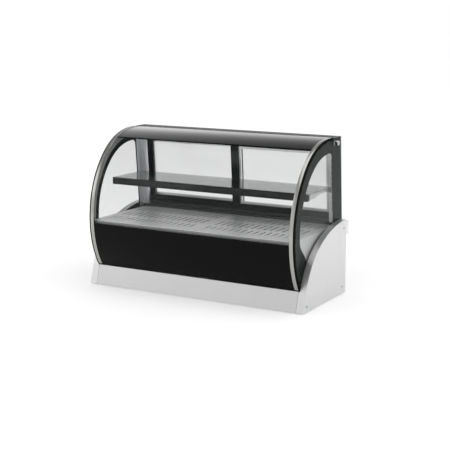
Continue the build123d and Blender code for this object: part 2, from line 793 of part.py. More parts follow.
def door_frame(x0, x1, track):
    """Four extrusions round the glass of one door; the outer stile holds a finger pull."""
    inset = door_inset + track * door_pitch
    back, front = inset, inset + door_thick
    groove = (back + 2, front - 2)
    bottom, top = door_bottom, door_top
    left = rear_bar(back, front, bottom, top, x0, x0 + door_stile)
    right = rear_bar(back, front, bottom, top, x1 - door_stile, x1)
    low = rear_bar(back, front, bottom, bottom + door_rail, x0 + door_stile, x1 - door_stile)
    high = rear_bar(back, front, top - door_top_rail, top, x0 + door_stile, x1 - door_stile)
    unit = rear_bar(*groove, bottom + door_rail - pane_bite, top - door_top_rail + pane_bite,
                    x0 + door_stile - pane_bite, x1 - door_stile + pane_bite)
    pull_x = x0 + door_stile / 2 if track == 0 else x1 - door_stile / 2
    mid = (bottom + top) / 2
    pull = rear_bar(back - 1, back + pull_depth, mid - pull_length / 2, mid + pull_length / 2,
                    pull_x - pull_width / 2, pull_x + pull_width / 2)
    stiles = [left - unit - pull, right - unit - pull]
    return Compound(children=stiles + [low - unit, high - unit])


def door_opening(x0, x1, reach):
    """X and height limits of the glass in a door, grown by reach into the frame."""
    low = door_bottom + door_rail - reach
    high = door_top - door_top_rail + reach
    return (x0 + door_stile - reach, x1 - door_stile + reach, low, high)


def door_panes(x0, x1, track):
    """Two panes of the insulating glass unit."""
    inset = door_inset + track * door_pitch
    a, b, low, high = door_opening(x0, x1, pane_bite - slip_gap)
    panes = []
    for start in (inset + 2, inset + door_thick - 2 - pane_thick):
        panes.append(rear_bar(start, start + pane_thick, low, high, a, b))
    return Compound(children=panes)


def door_spacer(x0, x1, track):
    """Metal spacer frame between the two panes."""
    inset = door_inset + track * door_pitch
    back = inset + 2 + pane_thick
    front = inset + door_thick - 2 - pane_thick
    a, b, low, high = door_opening(x0, x1, pane_bite - slip_gap - 1)
    c, d, low_in, high_in = door_opening(x0, x1, 0)
    inside = spacer_width
    ring = rear_bar(back, front, low, high, a, b)
    return ring - rear_bar(back - 1, front + 1, low_in + inside, high_in - inside, c + inside, d - inside)


# Shelf and lamps

def shelf_glass():
    """Glass shelf that rests on the fascia and on the brackets."""
    return block(-shelf_half, shelf_half, behind(shelf_front) + fascia_wall, behind(shelf_rear),
                 shelf_z - shelf_thick, shelf_z)


def shelf_fascia():
    """Front rail of the shelf, a hollow housing for its lamp."""
    y0 = behind(shelf_front)
    z1 = shelf_z
    z0 = z1 - fascia_height
    rail = block(-shelf_half, shelf_half, y0, y0 + fascia_deep, z0, z1 - shelf_thick)
    rail += block(-shelf_half, shelf_half, y0, y0 + fascia_wall, z0, z1)
    inside = shelf_half - fascia_wall
    roof = z1 - shelf_thick - fascia_wall
    room = block(-inside, inside, y0 + fascia_wall, y0 + fascia_deep - fascia_wall, z0 - 1, roof)
    return rail - room


def shelf_bracket():
    """Right arm from the corner post under the shelf, with a deeper nose at the fascia."""
    top = shelf_z - shelf_thick
    y0 = behind(shelf_front) + fascia_deep
    post = rear_point(post_front, (top - rear_glass_z) / cos(rear_lean))[0] - slip_gap
    nose = top - fascia_height + shelf_thick + 4
    foot = top - 2.2 * bracket_height
    under = top - bracket_height
    points = [(y0, nose), (y0, top), (post, top), (post, foot), (post - 6, foot)]
    points += [(post - 50, under), (y0 + 110, under)]
    runs = [(points[i], points[i + 1]) for i in range(len(points) - 1)]
    runs.append(((y0 + 110, under), (y0 + 84, under - 4), (y0 + 64, nose)))
    arm_x = shelf_half - 2
    return side_section(runs, arm_x - bracket_thick, arm_x)


def lamp_rail():
    """Cross rail under the front glass, the housing of the upper lamp."""
    half = pane_inner_x - slip_gap
    y0 = behind(lamp_rail_front)
    y1 = y0 + lamp_rail_deep
    z1 = glass_under(y0) - lamp_glass_gap
    z0 = z1 - lamp_rail_height
    rail = block(-half, half, y0, y1, z0, z1)
    return rail - block(-half + 4, half - 4, y0 + 2, y1 - 2, z0 - 1, z1 - 2)


def glass_under(y):
    """Height of the underside of the front glass at a depth on its shoulder."""
    turn = radians(mid_sweep)
    rise = (mid_radius - shoulder_radius) * sin(turn)
    rise += (shoulder_radius - crown_radius) * sin(radians(mid_sweep + shoulder_sweep)) + crown_radius
    centre_y = bulge_y + mid_radius - (mid_radius - shoulder_radius) * cos(turn)
    centre_z = case_height - rise + (mid_radius - shoulder_radius) * sin(turn)
    radius = shoulder_radius - trim_sheet - front_glass_thick
    return centre_z + sqrt(radius ** 2 - (y - centre_y) ** 2)


def lamp_lenses():
    """Diffusers of the upper lamp and of the shelf lamp."""
    half = pane_inner_x - slip_gap - 4
    y0 = behind(lamp_rail_front) + 2
    z0 = glass_under(behind(lamp_rail_front)) - lamp_glass_gap - lamp_rail_height
    upper = block(-half, half, y0, y0 + lamp_rail_deep - 4, z0 + 1, z0 + 1 + lens_thick)
    y0 = behind(shelf_front) + fascia_wall
    half = shelf_half - fascia_wall
    z0 = shelf_z - fascia_height
    lower = block(-half, half, y0, y0 + fascia_deep - 2 * fascia_wall, z0 + 1, z0 + 1 + lens_thick)
    return Compound(children=[upper, lower])


# Cooling machine

def rotor(radius, hub, x, y, z):
    """Fan wheel on its own shaft, blowing along Y; the shaft points to the front."""
    wheel = rod_y(hub, x, y - 9, y + 9, z)
    for i in range(fan_blades):
        blade = Pos(0, 0, (radius + hub) / 2 - 1) * Rot(0, 0, 32) * Box(radius * 0.55, 1.6, radius - hub + 2)
        wheel += Pos(x, y, z) * Rot(0, i * 360 / fan_blades, 0) * blade
    wheel &= rod_y(radius, x, y - 30, y + 30, z)
    return wheel + rod_y(shaft_radius, x, y - 9 - shaft_length, y, z)


def motor(x, y1, z):
    """Fan motor in front of its wheel, with a bearing bore and two mounting arms."""
    body = rod_y(motor_radius * 0.8, x, y1 - motor_length, y1, z)
    return body - rod_y(shaft_radius + run_fit, x, y1 - shaft_length - 2, y1 + 1, z)


def condenser_fan_centre():
    """X, Y and Z of the condenser fan wheel."""
    y = behind(condenser_depth) - condenser_deep / 2 - shroud_deep - 14
    return (condenser_x, y, floor_z + 2 + condenser_height / 2)


def condenser_coil():
    """Fin pack with slots between its fins and return bends at both ends."""
    y0 = behind(condenser_depth) - condenser_deep / 2
    z0 = floor_z
    x0 = condenser_x - condenser_length / 2
    core = block(x0, x0 + condenser_length, y0, y0 + condenser_deep, z0, z0 + condenser_height)
    for i in range(int(condenser_length / fin_pitch)):
        x = x0 + 1.5 + i * fin_pitch
        for a, b in ((y0 - 1, y0 + fin_cut), (y0 + condenser_deep - fin_cut, y0 + condenser_deep + 1)):
            core -= block(x, x + fin_slot, a, b, z0 + 4, z0 + condenser_height - 4)
    for row in range(4):
        z = z0 + 25 + row * 34
        for end, side in ((x0, -1), (x0 + condenser_length, 1)):
            bend = Pos(end, y0 + condenser_deep / 2, z) * Rot(0, 0, 90) * Torus(11, tube_radius)
            x1, x2 = sorted((end, end + side * 40))
            keep = block(x1, x2, y0, y0 + condenser_deep, z - 10, z + 10)
            core += bend & keep
    return core


def condenser_shroud():
    """Sheet box on the front of the coil with a round opening for the fan."""
    y1 = behind(condenser_depth) - condenser_deep / 2
    y0 = y1 - shroud_deep
    x0 = condenser_x - condenser_length / 2
    z1 = floor_z + condenser_height
    box = block(x0, x0 + condenser_length, y0, y1, floor_z, z1)
    x1 = x0 + condenser_length
    box -= block(x0 + sheet, x1 - sheet, y0 + sheet, y1 + 1, floor_z + sheet, z1 - sheet)
    x, y, z = condenser_fan_centre()
    box -= rod_y(condenser_fan_radius + fan_play, x, y0 - 1, y0 + 2 * sheet, z)
    collar = rod_y(condenser_fan_radius + fan_play + sheet, x, y0 - 22, y0 + sheet / 2, z)
    return box + (collar - rod_y(condenser_fan_radius + fan_play, x, y0 - 23, y0 + 2, z))


def motor_bracket(x, y1, z, reach):
    """Upright strap from the base pan that carries a fan motor."""
    y = y1 - motor_length
    strap = block(x - 15, x + 15, y - frame_sheet, y, z - reach, z + 20)
    foot = block(x - 15, x + 15, y - 24, y, z - reach, z - reach + frame_sheet)
    return strap + foot


def evaporator_fan_centre(side):
    """X, Y and Z of one of the two tank fans."""
    z = tank_floor_z + tank_wall + sheet + evaporator_fan_radius + 12
    return (side * evaporator_fan_x, behind(fan_plate_depth) + 4, z)


def fan_motors():
    """Motors of the condenser fan and of the two tank fans, each with its strap."""
    x, y, z = condenser_fan_centre()
    motors = [motor(x, y - 11, z) + motor_bracket(x, y - 11, z, z - floor_z)]
    for side in (-1, 1):
        x, y, z = evaporator_fan_centre(side)
        low = z - tank_floor_z - tank_wall - sheet
        motors.append(motor(x, y - 11, z) + motor_bracket(x, y - 11, z, low))
    return Compound(children=motors)


def evaporator_coil():
    """Coil across the tank, with slots between its fins."""
    y0 = behind(evaporator_depth)
    z0 = tank_floor_z + tank_wall + sheet
    core = block(-evaporator_half, evaporator_half, y0, y0 + evaporator_deep - 30, z0, z0 + evaporator_height)
    pitch = 3 * fin_pitch
    for i in range(int(2 * evaporator_half / pitch)):
        x = -evaporator_half + 4 + i * pitch
        core -= block(x, x + pitch - 6, y0 - 1, y0 + fin_cut, z0 + 4, z0 + evaporator_height - 4)
    return core


def evaporator_fan_plate():
    """Baffle behind the coil with two round openings for the fans."""
    half = tank_half - tank_wall - sheet - seam
    y0 = behind(fan_plate_depth)
    z0 = tank_floor_z + tank_wall + sheet
    z1 = deck_z - deck_sheet - 6
    plate = block(-half, half, y0, y0 + sheet, z0, z1)
    plate += block(-half, half, y0, y0 + 14, z1 - sheet, z1)
    for side in (-1, 1):
        x, y, z = evaporator_fan_centre(side)
        plate -= rod_y(evaporator_fan_radius + fan_play, x, y0 - 1, y0 + 2 * sheet, z)
    return plate


def compressor():
    """Hermetic compressor: a round shell with domed ends on a base plate."""
    y = behind(compressor_depth)
    z0 = floor_z + mount_height
    plate = block(compressor_x - mount_span_x / 2 - 18, compressor_x + mount_span_x / 2 + 18,
                  y - mount_span_y / 2 - 16, y + mount_span_y / 2 + 16, z0, z0 + compressor_plate)
    for x, hole_y in mount_places():
        plate -= rod_z(screw_radius * 2 + screw_hole_play, x, hole_y, z0 - 1, z0 + compressor_plate + 1)
    low = z0 + compressor_plate
    shell = rod_z(compressor_radius, compressor_x, y, low, low + compressor_height)
    shell = fillet(shell.edges().group_by(Axis.Z)[-1], 34)
    lid = rod_z(compressor_radius + 2.5, compressor_x, y, z0 + 60, z0 + 66)
    edge = y + compressor_radius
    terminal = block(compressor_x - 24, compressor_x + 24, edge - 8, edge + 22, z0 + 40, z0 + 84)
    return plate + shell + lid + terminal


def mount_places():
    """(x, y) of the compressor's rubber mounts."""
    y = behind(compressor_depth)
    return [(compressor_x + i * mount_span_x / 2, y + j * mount_span_y / 2) for i in (-1, 1) for j in (-1, 1)]


def compressor_mounts():
    """Rubber mounts, each with a stud through the compressor's plate."""
    mounts = []
    for x, y in mount_places():
        top = floor_z + mount_height
        pad = rod_z(mount_radius, x, y, floor_z, top)
        stud = rod_z(screw_radius * 2, x, y, top, top + compressor_plate + 9)
        mounts.append(pad + stud)
    return Compound(children=mounts)


def pipe(points, radius, bend):
    """Round pipe along straight runs joined by tangent arcs."""
    path = FilletPolyline(*points, radius=bend)
    start = Plane(origin=path @ 0, z_dir=path % 0)
    return sweep(start * Circle(radius), path=path)


def refrigerant_pipes():
    """Discharge, liquid and suction lines in copper, with the filter drier in the liquid line."""
    cy = behind(compressor_depth)
    top = floor_z + 130
    coil_x = condenser_x + condenser_length / 2
    coil_y = behind(condenser_depth)
    shell = compressor_x - compressor_radius
    level = floor_z + 60
    route = [(shell + 1, cy, level), (shell - 60, cy, level), (shell - 60, coil_y - 70, level)]
    route += [(coil_x + 60, coil_y - 70, level), (coil_x + 60, coil_y, level), (coil_x + 12, coil_y, level)]
    discharge = pipe(route, pipe_radius, pipe_bend)
    drier_x, drier_y = coil_x + 100, behind(120)
    level = floor_z + 26
    route = [(coil_x + 12, coil_y, level), (drier_x, coil_y, level), (drier_x, drier_y, level)]
    route += [(drier_x, drier_y, top), (120, drier_y, top), (120, drier_y, tank_floor_z)]
    liquid = pipe(route, pipe_radius, pipe_bend)
    drier = rod_z(10, drier_x, drier_y, floor_z + 60, floor_z + 110)
    level = floor_z + 50
    route = [(compressor_x, cy - compressor_radius - 1, level), (compressor_x, cy - 130, level)]
    route.append((compressor_x, cy - 130, tank_floor_z))
    suction = pipe(route, suction_radius, pipe_bend + 2)
    return Compound(children=[discharge, liquid + drier, suction])


def drain_hose():
    """Short hose from the tank's drain down to the tray."""
    top = tank_floor_z + tank_wall
    hose = rod_z(drain_radius, pan_x, drain_y, floor_z + pan_height + 6, top)
    return hose - rod_z(drain_radius - hose_wall, pan_x, drain_y, floor_z + pan_height, top + 1)


def condensate_tray():
    """Tray for the drained water, with a face plate behind the rear panel."""
    y1 = rear_y
    y0 = y1 - pan_deep
    z0 = floor_z + slip_gap
    half = pan_length / 2
    tray = block(pan_x - half, pan_x + half, y0, y1, z0, z0 + pan_height)
    tray -= block(pan_x - half + pan_wall, pan_x + half - pan_wall, y0 + pan_wall, y1 - pan_wall,
                  z0 + pan_wall, z0 + pan_height + 1)
    lap = half + pan_face_lap
    top = z0 + pan_height + pan_face_lap
    tray += block(pan_x - lap, pan_x + lap, y1 + slip_gap, y1 + slip_gap + 2, z0, top)
    tray += block(pan_x - half, pan_x + half, y1 - pan_wall, y1 + slip_gap + 1, z0, z0 + pan_height)
    lip = block(pan_x - 45, pan_x + 45, y1 + slip_gap, y1 + 14, top - 2, top)
    return tray + lip


# Controls

def controller():
    """Temperature controller: a bezel outside the panel, a body inside, and button holes."""
    y1 = rear_y + bezel_thick
    half_x, half_z = controller_length / 2, controller_height / 2
    bezel = block(control_x - half_x, control_x + half_x, rear_y, y1, control_z - half_z, control_z + half_z)
    bezel = fillet(bezel.edges().group_by(Axis.Y)[-1], 1.0)
    body_x, body_z = half_x - controller_lap - slip_gap, half_z - controller_lap - slip_gap
    body = block(control_x - body_x, control_x + body_x, rear_y - controller_deep, rear_y,
                 control_z - body_z, control_z + body_z)
    case = bezel + body
    for i in range(3):
        x, z = button_place(i)
        wide = button_length / 2 + button_play
        tall = button_width / 2 + button_play
        case -= block(x - wide, x + wide, rear_y - 4, y1 + 1, z - tall, z + tall)
    return case


def button_place(i):
    """X and Z of a controller button."""
    return (control_x + (i - 1) * button_pitch, control_z - controller_height / 2 + 8)


def button(i):
    """One push button of the controller."""
    x, z = button_place(i)
    y1 = rear_y + bezel_thick + button_stand
    key = block(x - button_length / 2, x + button_length / 2, rear_y - 4 + button_travel + slip_gap, y1,
                z - button_width / 2, z + button_width / 2)
    return fillet(key.edges().group_by(Axis.Y)[-1], 0.8)


def switch_housings():
    """Two snap-in housings of the rocker switches, with a hollow for the rocker and its pivot."""
    housings = []
    for x in switch_x:
        wide = rocker_width / 2 + channel_wall
        tall = rocker_length / 2 + channel_wall
        shell = block(x - wide, x + wide, rear_y - 16, rear_y, control_z - tall, control_z + tall)
        lap = tall + 2
        shell += block(x - wide - 2, x + wide + 2, rear_y, rear_y + 1.5, control_z - lap, control_z + lap)
        across = rocker_width / 2 + button_play
        up = rocker_length / 2 + 1
        shell -= block(x - across, x + across, rear_y - 12, rear_y + 2, control_z - up, control_z + up)
        shell -= rod_x(rocker_pin + run_fit, x - wide + 0.6, x + wide - 0.6, rear_y - 4, control_z)
        housings.append(shell)
    return Compound(children=housings)


def rocker(x):
    """Rocker on two stub pivots, at rest tipped with its lower half out."""
    half = rocker_width / 2
    z = control_z
    y = rear_y - 4
    tilt = radians(rocker_tilt)
    reach = rocker_length / 2 - 1.0
    rise = 7.0
    face = [(-4, -reach * 0.55), (rise, -reach), (rise - 1.6, 0), (rise, reach), (-4, reach * 0.55)]
    turned = [(y + a * cos(tilt) - b * sin(tilt), z + a * sin(tilt) + b * cos(tilt)) for a, b in face]
    body = polygon_section(turned, x - half, x + half)
    return body + rod_x(rocker_pin, x - half - channel_wall + 0.8, x + half + channel_wall - 0.8, y, z)


def cable_gland():
    """Gland for the mains lead: nut inside, flange and dome outside, with a through hole."""
    body = rod_y(gland_radius, gland_x, rear_y - 12, rear_y + 4, gland_z)
    hexagon = Rot(90, 0, 0) * extrude(RegularPolygon(gland_radius + 4, 6), amount=gland_nut / 2, both=True)
    nut = Pos(gland_x, rear_y + gland_nut / 2, gland_z) * hexagon
    lock = Pos(gland_x, rear_y - sheet - gland_nut / 2, gland_z) * hexagon
    dome = rod_y(gland_radius, gland_x, rear_y + 6, rear_y + 17, gland_z)
    dome = fillet(dome.edges().group_by(Axis.Y)[-1], 3)
    whole = body + nut + lock + dome
    return whole - rod_y(cord_radius, gland_x, rear_y - 20, rear_y + 30, gland_z)


def electrics_box():
    """Closed box for the terminals and the lamp driver, on the floor behind the skirt."""
    y0 = behind(60)
    x0 = compressor_x - 230
    box = block(x0, x0 + 190, y0, y0 + 90, floor_z, floor_z + 70)
    return fillet(box.edges().filter_by(Axis.Z), 6)


left_door = (-door_half, door_stile / 2)
right_door = (-door_stile / 2, door_half)

nodes = {
    "base_pan": base_pan(),
    "feet": feet(),
    "end_caps": pair(end_cap()),
    "front_skirt": front_skirt(),
    "rear_panel": rear_panel(),
    "rear_ledge": rear_ledge(),
    "inner_frames": pair(inner_frame()),
    "tank_shell": tank_shell(),
    "tank_insulation": tank_foam(),
    "tank_liner": tank_liner(),
    "front_air_duct": front_duct(),
    "deck_pans": deck_pans(),
    "end_glasses": pair(end_glass()),
    "glass_rubbers": pair(end_gasket()) + pair(glass_buffer()),
    "end_glass_channels": pair(end_channel()),
    "hinge_pins": pair(hinge_pin()),
    "hinge_bushes": pair(hinge_bush()),
    "hinge_caps": pair(hinge_cap()),
    "front_glass": front_glass(),
    "glass_trims": pair(glass_trim()),
    "glass_edge_seals": pair(glass_edge_seal()),
    "hinge_barrel": hinge_barrel(),
    "hinge_plugs": pair(hinge_plug()),
    "rear_header": rear_header(),
    "door_sill": door_sill(),
    "corner_posts": pair(corner_post()),
    "left_door_frame": door_frame(*left_door, 0),
    "left_door_panes": door_panes(*left_door, 0),
    "left_door_spacer": door_spacer(*left_door, 0),
    "right_door_frame": door_frame(*right_door, 1),
    "right_door_panes": door_panes(*right_door, 1),
    "right_door_spacer": door_spacer(*right_door, 1),
    "shelf_glass": shelf_glass(),
    "shelf_fascia": shelf_fascia(),
    "shelf_brackets": pair(shelf_bracket()),
    "lamp_rail": lamp_rail(),
    "lamp_lenses": lamp_lenses(),
    "compressor": compressor(),
    "compressor_mounts": compressor_mounts(),
    "condenser_coil": condenser_coil(),
    "condenser_shroud": condenser_shroud(),
    "fan_motors": fan_motors(),
    "evaporator_coil": evaporator_coil(),
    "evaporator_fan_plate": evaporator_fan_plate(),
    "refrigerant_pipes": refrigerant_pipes(),
    "drain_hose": drain_hose(),
    "condensate_tray": condensate_tray(),
    "temperature_controller": controller(),
    "switch_housings": switch_housings(),
    "cable_gland": cable_gland(),
    "electrics_box": electrics_box(),
    "panel_screws": panel_screws(),
    "condenser_fan": rotor(condenser_fan_radius, 18, *condenser_fan_centre()),
    "left_tank_fan": rotor(evaporator_fan_radius, 14, *evaporator_fan_centre(-1)),
    "right_tank_fan": rotor(evaporator_fan_radius, 14, *evaporator_fan_centre(1)),
    "light_rocker": rocker(switch_x[0]),
    "power_rocker": rocker(switch_x[1]),
    "set_button": button(0),
    "up_button": button(1),
    "down_button": button(2),
}

os.makedirs("parts", exist_ok=True)
for name, shape in nodes.items():
    export_step(shape, f"parts/{name}.step")
print(len(nodes), "nodes")
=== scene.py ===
import json
import math

import bmesh
import bpy
import numpy as np
from mathutils import Matrix, Vector


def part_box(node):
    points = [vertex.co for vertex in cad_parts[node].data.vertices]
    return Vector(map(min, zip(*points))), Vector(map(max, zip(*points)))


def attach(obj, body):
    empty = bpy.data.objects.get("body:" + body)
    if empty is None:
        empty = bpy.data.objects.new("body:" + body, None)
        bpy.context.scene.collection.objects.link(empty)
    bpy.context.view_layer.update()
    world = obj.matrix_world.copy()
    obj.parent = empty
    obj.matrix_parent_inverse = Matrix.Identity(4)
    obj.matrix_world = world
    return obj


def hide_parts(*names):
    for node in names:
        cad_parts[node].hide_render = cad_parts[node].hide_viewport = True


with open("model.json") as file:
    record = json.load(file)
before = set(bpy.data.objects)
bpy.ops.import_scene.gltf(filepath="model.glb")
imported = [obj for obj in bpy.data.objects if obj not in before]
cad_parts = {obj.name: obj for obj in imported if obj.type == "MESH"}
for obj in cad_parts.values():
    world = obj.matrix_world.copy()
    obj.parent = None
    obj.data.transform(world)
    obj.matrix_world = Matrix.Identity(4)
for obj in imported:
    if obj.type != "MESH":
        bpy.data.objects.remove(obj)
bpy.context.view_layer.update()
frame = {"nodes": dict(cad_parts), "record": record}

nodes = frame["nodes"]
print("frame loaded:", len(nodes), "nodes")


class Wire:
    # a shader socket that takes part in arithmetic: each operator adds its Math node
    def __init__(self, graph, socket):
        self.graph = graph
        self.socket = socket

    def maths(self, operation, first, second):
        return self.graph.node("ShaderNodeMath", {"operation": operation}, {0: first, 1: second})

    def __add__(self, other):
        return self.maths("ADD", self, other)

    def __sub__(self, other):
        return self.maths("SUBTRACT", self, other)

    def __rsub__(self, other):
        return self.maths("SUBTRACT", other, self)

    def __mul__(self, other):
        return self.maths("MULTIPLY", self, other)

    def __pow__(self, other):
        return self.maths("POWER", self, other)

    __radd__ = __add__
    __rmul__ = __mul__

    def clip(self):
        return self.graph.node("ShaderNodeClamp", {}, {"Value": self})

    def between(self, low, high):
        # 0 under low, 1 over high, a smooth step in between
        values = {"Value": self, "From Min": low, "From Max": high}
        return self.graph.node("ShaderNodeMapRange", {"interpolation_type": "SMOOTHSTEP"}, values)

    def fromTo(self, low, high):
        return self * (high - low) + low


socketNames = {"baseColor": "Base Color", "coat": "Coat Weight", "coatRoughness": "Coat Roughness",
               "specular": "Specular IOR Level", "emission": "Emission Color",
               "emissionStrength": "Emission Strength"}


class Graph:
    # the node tree of one material, with its Principled shader
    def __init__(self, name):
        self.material = bpy.data.materials.new(name)
        self.material.use_nodes = True
        self.tree = self.material.node_tree
        self.shader = self.tree.nodes["Principled BSDF"]
        self.place = self.node("ShaderNodeTexCoord", {}, {}, "Object")

    def put(self, socket, value):
        if isinstance(value, Wire):
            self.tree.links.new(value.socket, socket)
        elif isinstance(value, (tuple, list)) and socket.type == "RGBA" and len(value) == 3:
            socket.default_value = (*value, 1.0)
        else:
            socket.default_value = value

    def node(self, kind, settings, values, out=0):
        made = self.tree.nodes.new(kind)
        for key, value in settings.items():
            setattr(made, key, value)
        for key, value in values.items():
            self.put(made.inputs[key], value)
        return Wire(self, made.outputs[out])

    def axis(self, name):
        return self.node("ShaderNodeSeparateXYZ", {}, {0: self.place}, name)

    def stretched(self, scale):
        return self.node("ShaderNodeMapping", {}, {"Vector": self.place, "Scale": scale})

    def noise(self, vector, scale, detail=3.0, rough=0.55):
        values = {"Vector": vector, "Scale": scale, "Detail": detail, "Roughness": rough}
        return self.node("ShaderNodeTexNoise", {}, values)

    def cells(self, scale, out=0):
        return self.node("ShaderNodeTexVoronoi", {}, {"Vector": self.place, "Scale": scale}, out)

    def colour(self, mask, first, second):
        values = {"Factor": mask, 6: first, 7: second}
        return self.node("ShaderNodeMix", {"data_type": "RGBA"}, values, 2)

    def grazing(self):
        # Schlick's curve: 0.04 face on, rising steeply to 1 at a glancing angle
        facing = self.node("ShaderNodeLayerWeight", {}, {"Blend": 0.5}, "Facing")
        return facing ** 5 * 0.96 + 0.04

    def bump(self, height, distance, strength=1.0):
        values = {"Height": height, "Distance": distance, "Strength": strength}
        return self.node("ShaderNodeBump", {}, values, "Normal")

    def finish(self, **sockets):
        for key, value in sockets.items():
            self.put(self.shader.inputs[socketNames.get(key, key.capitalize())], value)
        return self.material


def shade(colour, factor):
    return tuple(min(1.0, c * factor) for c in colour)


def brushedSteel(name, grainAxis, tone, roughness, cloud=0.06, metal=1.0):
    # long streaks: noise squeezed hard across the grain and stretched along it
    graph = Graph(name)
    scale = [260.0, 260.0, 260.0]
    scale[grainAxis] = 2.2
    streak = graph.noise(graph.stretched(scale), 1.0, 4.0, 0.7)
    fine = [900.0, 900.0, 900.0]
    fine[grainAxis] = 9.0
    hair = graph.noise(graph.stretched(fine), 1.0, 2.0, 0.6)
    patch = graph.noise(graph.place, 5.0, 2.0)
    rub = graph.noise(graph.place, 38.0, 4.0).between(0.62, 0.74)
    tint = (streak * 0.6 + hair * 0.4).fromTo(1.0 - cloud, 1.0 + cloud) * patch.fromTo(0.97, 1.03)
    base = graph.colour((tint - 0.8) * 2.5, shade(tone, 0.8), shade(tone, 1.2))
    rough = streak.fromTo(roughness * 0.8, roughness * 1.2) + hair * 0.05 + rub * 0.05
    return graph.finish(baseColor=base, metallic=metal, roughness=rough.clip(),
                        normal=graph.bump(streak * 0.5 + hair * 0.5, 0.00004, 0.5))


def polishedSteel(name, tone, roughness):
    graph = Graph(name)
    smear = graph.noise(graph.place, 22.0, 4.0)
    scratch = graph.noise(graph.stretched((40.0, 500.0, 500.0)), 1.0, 3.0, 0.7).between(0.6, 0.75)
    base = graph.colour(smear, shade(tone, 0.96), shade(tone, 1.04))
    rough = smear.fromTo(roughness * 0.7, roughness * 1.4) + scratch * 0.05
    return graph.finish(baseColor=base, metallic=1.0, roughness=rough,
                        normal=graph.bump(scratch, 0.00002, 0.4))


def galvanised(name, tone):
    # zinc spangle: each crystal cell has its own brightness
    graph = Graph(name)
    crystal = graph.node("ShaderNodeSeparateColor", {}, {0: graph.cells(60.0, "Color")})
    dust = graph.noise(graph.place, 9.0, 5.0)
    base = graph.colour(crystal * 0.7 + dust * 0.3, shade(tone, 0.82), shade(tone, 1.15))
    return graph.finish(baseColor=base, metallic=0.85, roughness=crystal.fromTo(0.38, 0.56) + dust * 0.08,
                        normal=graph.bump(crystal, 0.00006, 0.4))


def coated(name, tone, roughness, coat=0.0, metallic=0.0, specular=0.5):
    # paint or moulded plastic: fine orange-peel or spark grain, faint dust, rubbed high spots
    graph = Graph(name)
    peel = graph.noise(graph.place, 420.0, 2.0)
    dust = graph.noise(graph.place, 14.0, 5.0)
    rub = graph.noise(graph.place, 60.0, 3.0).between(0.6, 0.72)
    base = graph.colour(dust * 0.6 + rub * 0.4, shade(tone, 0.85), tuple(c * 1.1 + 0.006 for c in tone))
    rough = dust.fromTo(roughness * 0.85, roughness * 1.15) + rub * 0.06
    return graph.finish(baseColor=base, roughness=rough.clip(), metallic=metallic, coat=coat,
                        specular=specular, coatRoughness=0.05, normal=graph.bump(peel, 0.00003, 0.6))


def clearGlass(name, tone, body, mirror):
    # thin clear sheet: nearly all light passes, and more mirrors back towards grazing angles
    graph = Graph(name)
    grazing = graph.grazing()
    wipe = graph.noise(graph.stretched((3.0, 3.0, 9.0)), 3.0, 4.0)
    base = graph.colour(grazing, tone, shade(tone, 1.3))
    alpha = (grazing * mirror + wipe * 0.015 + body).clip()
    graph.material.surface_render_method = "BLENDED"
    return graph.finish(baseColor=base, metallic=1.0, roughness=wipe.fromTo(0.01, 0.04), alpha=alpha)


def turnedMetal(name, tone, roughness):
    graph = Graph(name)
    ring = graph.noise(graph.stretched((1200.0, 80.0, 80.0)), 1.0, 2.0)
    base = graph.colour(ring, shade(tone, 0.92), shade(tone, 1.06))
    rough = ring.fromTo(roughness * 0.7, roughness * 1.3)
    return graph.finish(baseColor=base, metallic=1.0, roughness=rough,
                        normal=graph.bump(ring, 0.00002, 0.4))


def copperTube(name):
    graph = Graph(name)
    stain = graph.noise(graph.place, 30.0, 5.0)
    base = graph.colour(stain.between(0.35, 0.7), (0.80, 0.42, 0.26), (0.42, 0.22, 0.14))
    return graph.finish(baseColor=base, metallic=1.0, roughness=stain.fromTo(0.22, 0.45),
                        normal=graph.bump(stain, 0.00005, 0.3))


def foamBlock(name):
    graph = Graph(name)
    pore = graph.cells(520.0)
    tone = graph.noise(graph.place, 12.0, 3.0)
    base = graph.colour(tone, (0.80, 0.70, 0.44), (0.90, 0.83, 0.60))
    return graph.finish(baseColor=base, roughness=pore.fromTo(0.75, 0.95),
                        normal=graph.bump(pore, 0.0004, 0.8))


def lampLens(name):
    graph = Graph(name)
    ripple = graph.node("ShaderNodeTexWave", {"wave_type": "BANDS", "bands_direction": "Y"},
                        {"Vector": graph.place, "Scale": 180.0}, "Fac")
    base = graph.colour(ripple, (0.84, 0.85, 0.84), (0.95, 0.95, 0.94))
    return graph.finish(baseColor=base, roughness=ripple.fromTo(0.3, 0.45), emission=(1.0, 0.97, 0.9),
                        emissionStrength=0.25, normal=graph.bump(ripple, 0.0001, 0.5))


# radii and sweeps of the front curve, from the skirt over the bulge and shoulder to the crown
line = {"lowRadius": 0.467, "midRadius": 0.473, "midSweep": 44.0, "shoulderRadius": 0.348,
        "shoulderSweep": 40.0, "crownRadius": 0.560, "bulgeHeight": 0.342}
trimLow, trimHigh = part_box("glass_trims")
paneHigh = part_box("end_glasses")[1]
paneInner = paneHigh.x - 0.006           # inner face of the end glass
bulgeY = trimLow.y
topZ = trimHigh.z
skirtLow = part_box("front_skirt")[0]


